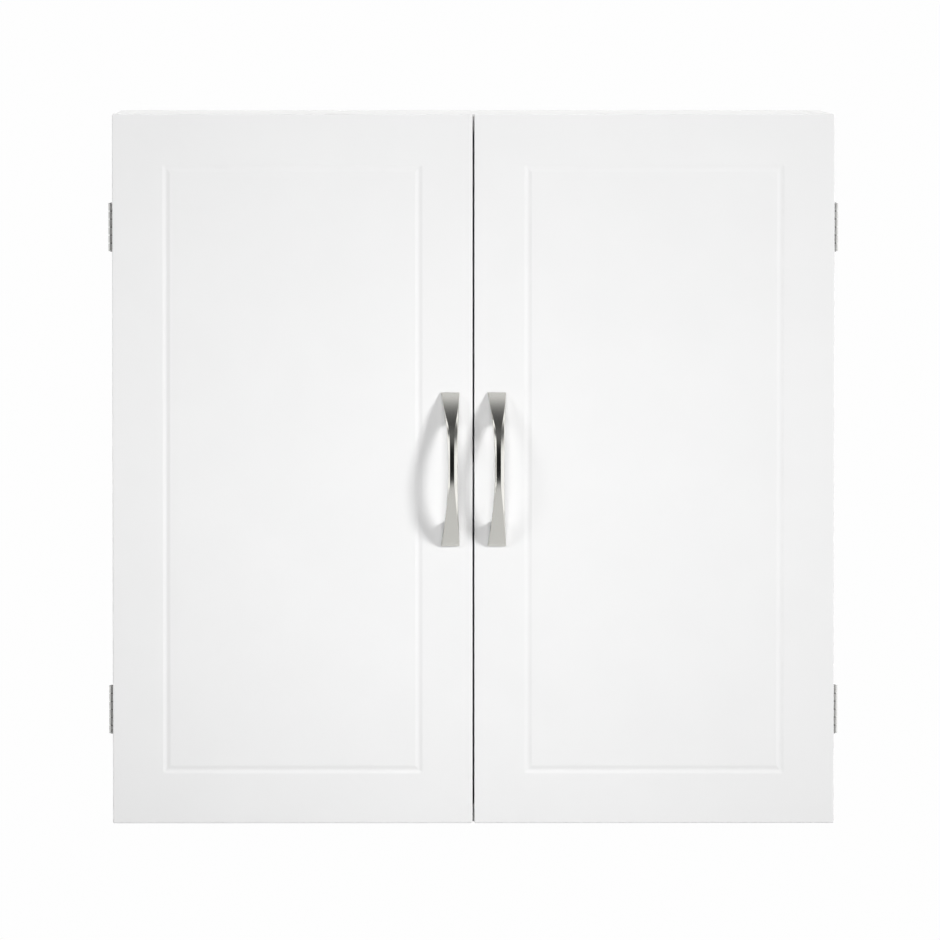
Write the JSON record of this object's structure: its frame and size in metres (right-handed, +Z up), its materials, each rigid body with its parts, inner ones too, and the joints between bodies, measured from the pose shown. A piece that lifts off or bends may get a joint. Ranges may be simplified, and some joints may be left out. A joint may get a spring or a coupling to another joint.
{
  "type": "hanging wall cabinet",
  "caption": "White wall cabinet with hinged doors, bow handles, an adjustable shelf and a hanging rail, for storage on a wall.",
  "frame": {"origin": "middle of the hanging rail's rear face, which lies against the wall", "axes": "+X to the right seen from the front, +Y into the wall, +Z up; the doors face -Y"},
  "size_m": [0.6072, 0.3283, 0.59],
  "materials": {
    "white_board": "white melamine-faced chipboard, satin",
    "door_foil": "white foil-wrapped fibreboard, smooth satin",
    "hardboard": "white lacquered hardboard, matt",
    "satin_nickel": "brushed satin nickel on a zinc casting",
    "plated_steel": "nickel-plated pressed steel",
    "zinc_steel": "bright zinc-plated steel",
    "white_plastic": "moulded white plastic"
  },
  "bodies": {
    "carcass": {"back_panel": "hardboard", "bottom_panel": "white_board", "hanging_rail": "white_board", "left_bottom_front_confirmat": "zinc_steel", "left_bottom_rear_confirmat": "zinc_steel", "left_front_shelf_pin": "plated_steel", "left_lower_hinge_frame_leaf": "plated_steel", "left_lower_hinge_frame_leaf_lower_screw": "zinc_steel", "left_lower_hinge_frame_leaf_upper_screw": "zinc_steel", "left_lower_hinge_pin": "plated_steel", "left_magnet_catch": "white_plastic", "left_rear_shelf_pin": "plated_steel", "left_side": "white_board", "left_top_front_confirmat": "zinc_steel", "left_top_rear_confirmat": "zinc_steel", "left_upper_hinge_frame_leaf": "plated_steel", "left_upper_hinge_frame_leaf_lower_screw": "zinc_steel", "left_upper_hinge_frame_leaf_upper_screw": "zinc_steel", "left_upper_hinge_pin": "plated_steel", "right_bottom_front_confirmat": "zinc_steel", "right_bottom_rear_confirmat": "zinc_steel", "right_front_shelf_pin": "plated_steel", "right_lower_hinge_frame_leaf": "plated_steel", "right_lower_hinge_frame_leaf_lower_screw": "zinc_steel", "right_lower_hinge_frame_leaf_upper_screw": "zinc_steel", "right_lower_hinge_pin": "plated_steel", "right_magnet_catch": "white_plastic", "right_rear_shelf_pin": "plated_steel", "right_side": "white_board", "right_top_front_confirmat": "zinc_steel", "right_top_rear_confirmat": "zinc_steel", "right_upper_hinge_frame_leaf": "plated_steel", "right_upper_hinge_frame_leaf_lower_screw": "zinc_steel", "right_upper_hinge_frame_leaf_upper_screw": "zinc_steel", "right_upper_hinge_pin": "plated_steel", "shelf": "white_board", "top_panel": "white_board"},
    "left_door": {"left_door": "door_foil", "left_handle": "satin_nickel", "left_handle_lower_screw": "zinc_steel", "left_handle_upper_screw": "zinc_steel", "left_lower_hinge_door_leaf": "plated_steel", "left_lower_hinge_door_leaf_lower_screw": "zinc_steel", "left_lower_hinge_door_leaf_upper_screw": "zinc_steel", "left_striker_plate": "plated_steel", "left_upper_hinge_door_leaf": "plated_steel", "left_upper_hinge_door_leaf_lower_screw": "zinc_steel", "left_upper_hinge_door_leaf_upper_screw": "zinc_steel"},
    "right_door": {"right_door": "door_foil", "right_handle": "satin_nickel", "right_handle_lower_screw": "zinc_steel", "right_handle_upper_screw": "zinc_steel", "right_lower_hinge_door_leaf": "plated_steel", "right_lower_hinge_door_leaf_lower_screw": "zinc_steel", "right_lower_hinge_door_leaf_upper_screw": "zinc_steel", "right_striker_plate": "plated_steel", "right_upper_hinge_door_leaf": "plated_steel", "right_upper_hinge_door_leaf_lower_screw": "zinc_steel", "right_upper_hinge_door_leaf_upper_screw": "zinc_steel"}
  },
  "joints": [
    {"name": "left_door_hinge", "type": "hinge", "parent": "carcass", "child": "left_door", "pos_m": [-0.3013, -0.2837, -0.2447], "axis": [0, 0, -1], "range_deg": [0, 180]},
    {"name": "right_door_hinge", "type": "hinge", "parent": "carcass", "child": "right_door", "pos_m": [0.3013, -0.2837, -0.2447], "axis": [0, 0, 1], "range_deg": [0, 180]}
  ]
}
